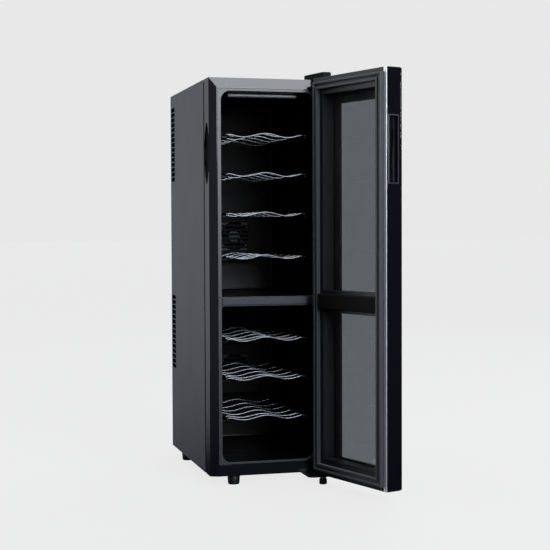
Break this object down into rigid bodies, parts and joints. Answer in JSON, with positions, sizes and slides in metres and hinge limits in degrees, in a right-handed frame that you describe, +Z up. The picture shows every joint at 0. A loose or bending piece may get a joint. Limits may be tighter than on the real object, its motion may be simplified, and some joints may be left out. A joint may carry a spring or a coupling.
{
  "type": "wine cooler",
  "caption": "Tall slim two-zone wine cooler with wavy wire shelves and a two-window glass door standing open on its right-hand hinges.",
  "frame": {"origin": "on the floor under the centre of the whole object as it stands with the door open", "axes": "+Z up, front of the cabinet faces -Y, door hinges on the +X side"},
  "size_m": [0.371, 0.7716, 0.9658],
  "materials": {
    "aluminium": "brushed",
    "black_paint": "satin",
    "board": "satin",
    "ceramic": "matte",
    "chrome": "polished",
    "clear_glass": "gloss",
    "diffuser": "satin",
    "foam": "matte",
    "gasket": "matte",
    "gloss_black": "gloss",
    "graphite": "satin",
    "liner_black": "semi-gloss",
    "satin_black": "satin",
    "smoked_glass": "gloss",
    "white_nylon": "satin",
    "zinc_steel": "satin"
  },
  "bodies": {
    "cabinet": {"base_panel": "black_paint", "bottom_hinge_bracket": "zinc_steel", "bottom_hinge_pin": "zinc_steel", "divider_strip": "graphite", "foam_insulation": "foam", "foot_front_left": "satin_black", "foot_rear_left": "satin_black", "foot_rear_right": "satin_black", "front_frame": "gloss_black", "lamp_board": "board", "lamp_cover": "diffuser", "leveller_nut": "zinc_steel", "lower_cold_sink": "aluminium", "lower_fan_cover": "satin_black", "lower_hot_sink": "aluminium", "lower_inner_fan_housing": "satin_black", "lower_liner": "liner_black", "lower_outer_fan_housing": "satin_black", "lower_peltier_module": "ceramic", "power_board": "board", "power_inlet": "satin_black", "rear_cover": "black_paint", "side_panel_left": "black_paint", "side_panel_right": "black_paint", "top_hinge_bracket": "zinc_steel", "top_hinge_cover": "satin_black", "top_hinge_pin": "zinc_steel", "top_panel": "black_paint", "upper_cold_sink": "aluminium", "upper_fan_cover": "satin_black", "upper_hot_sink": "aluminium", "upper_inner_fan_housing": "satin_black", "upper_liner": "liner_black", "upper_outer_fan_housing": "satin_black", "upper_peltier_module": "ceramic"},
    "door": {"control_board": "board", "door_bush_bottom": "white_nylon", "door_bush_top": "white_nylon", "door_edge_trim": "aluminium", "door_front_glass": "smoked_glass", "door_gasket": "gasket", "door_handle_pocket": "gloss_black", "door_inner_frame": "satin_black", "door_inner_glass": "clear_glass", "door_outer_frame": "gloss_black", "glass_border": "satin_black", "mullion_gasket": "gasket"},
    "lower_shelf_1": {"lower_shelf_1": "chrome"},
    "lower_shelf_2": {"lower_shelf_2": "chrome"},
    "lower_shelf_3": {"lower_shelf_3": "chrome"},
    "upper_shelf_1": {"upper_shelf_1": "chrome"},
    "upper_shelf_2": {"upper_shelf_2": "chrome"},
    "upper_shelf_3": {"upper_shelf_3": "chrome"},
    "upper_shelf_4": {"upper_shelf_4": "chrome"},
    "lower_inner_fan_rotor": {"lower_inner_fan_rotor": "satin_black"},
    "lower_outer_fan_rotor": {"lower_outer_fan_rotor": "satin_black"},
    "upper_inner_fan_rotor": {"upper_inner_fan_rotor": "satin_black"},
    "upper_outer_fan_rotor": {"upper_outer_fan_rotor": "satin_black"},
    "levelling_foot": {"foot_front_right": "satin_black"}
  },
  "joints": [
    {"name": "door_hinge", "type": "hinge", "parent": "cabinet", "child": "door", "pos_m": [0.08152, -0.1257, 0.487], "axis": [0, 0, 1], "range_deg": [-107.7, 12.3]},
    {"name": "lower_shelf_1_slide", "type": "slide", "parent": "cabinet", "child": "lower_shelf_1", "axis": [0, -1, 0], "range_m": [0, 0.15]},
    {"name": "lower_shelf_2_slide", "type": "slide", "parent": "cabinet", "child": "lower_shelf_2", "axis": [0, -1, 0], "range_m": [0, 0.15]},
    {"name": "lower_shelf_3_slide", "type": "slide", "parent": "cabinet", "child": "lower_shelf_3", "axis": [0, -1, 0], "range_m": [0, 0.15]},
    {"name": "upper_shelf_1_slide", "type": "slide", "parent": "cabinet", "child": "upper_shelf_1", "axis": [0, -1, 0], "range_m": [0, 0.15]},
    {"name": "upper_shelf_2_slide", "type": "slide", "parent": "cabinet", "child": "upper_shelf_2", "axis": [0, -1, 0], "range_m": [0, 0.15]},
    {"name": "upper_shelf_3_slide", "type": "slide", "parent": "cabinet", "child": "upper_shelf_3", "axis": [0, -1, 0], "range_m": [0, 0.15]},
    {"name": "upper_shelf_4_slide", "type": "slide", "parent": "cabinet", "child": "upper_shelf_4", "axis": [0, -1, 0], "range_m": [0, 0.15]},
    {"name": "lower_inner_fan_spin", "type": "hinge", "parent": "cabinet", "child": "lower_inner_fan_rotor", "pos_m": [-0.04548, 0.2539, 0.238], "axis": [0, 1, 0], "continuous": true},
    {"name": "lower_outer_fan_spin", "type": "hinge", "parent": "cabinet", "child": "lower_outer_fan_rotor", "pos_m": [-0.04548, 0.348, 0.238], "axis": [0, 1, 0], "continuous": true},
    {"name": "upper_inner_fan_spin", "type": "hinge", "parent": "cabinet", "child": "upper_inner_fan_rotor", "pos_m": [-0.04548, 0.2539, 0.582], "axis": [0, 1, 0], "continuous": true},
    {"name": "upper_outer_fan_spin", "type": "hinge", "parent": "cabinet", "child": "upper_outer_fan_rotor", "pos_m": [-0.04548, 0.348, 0.582], "axis": [0, 1, 0], "continuous": true},
    {"name": "levelling_foot_turn", "type": "hinge", "parent": "cabinet", "child": "levelling_foot", "pos_m": [0.07551, -0.1382, 0], "axis": [0, 0, 1], "range_deg": [-360, 360]}
  ]
}
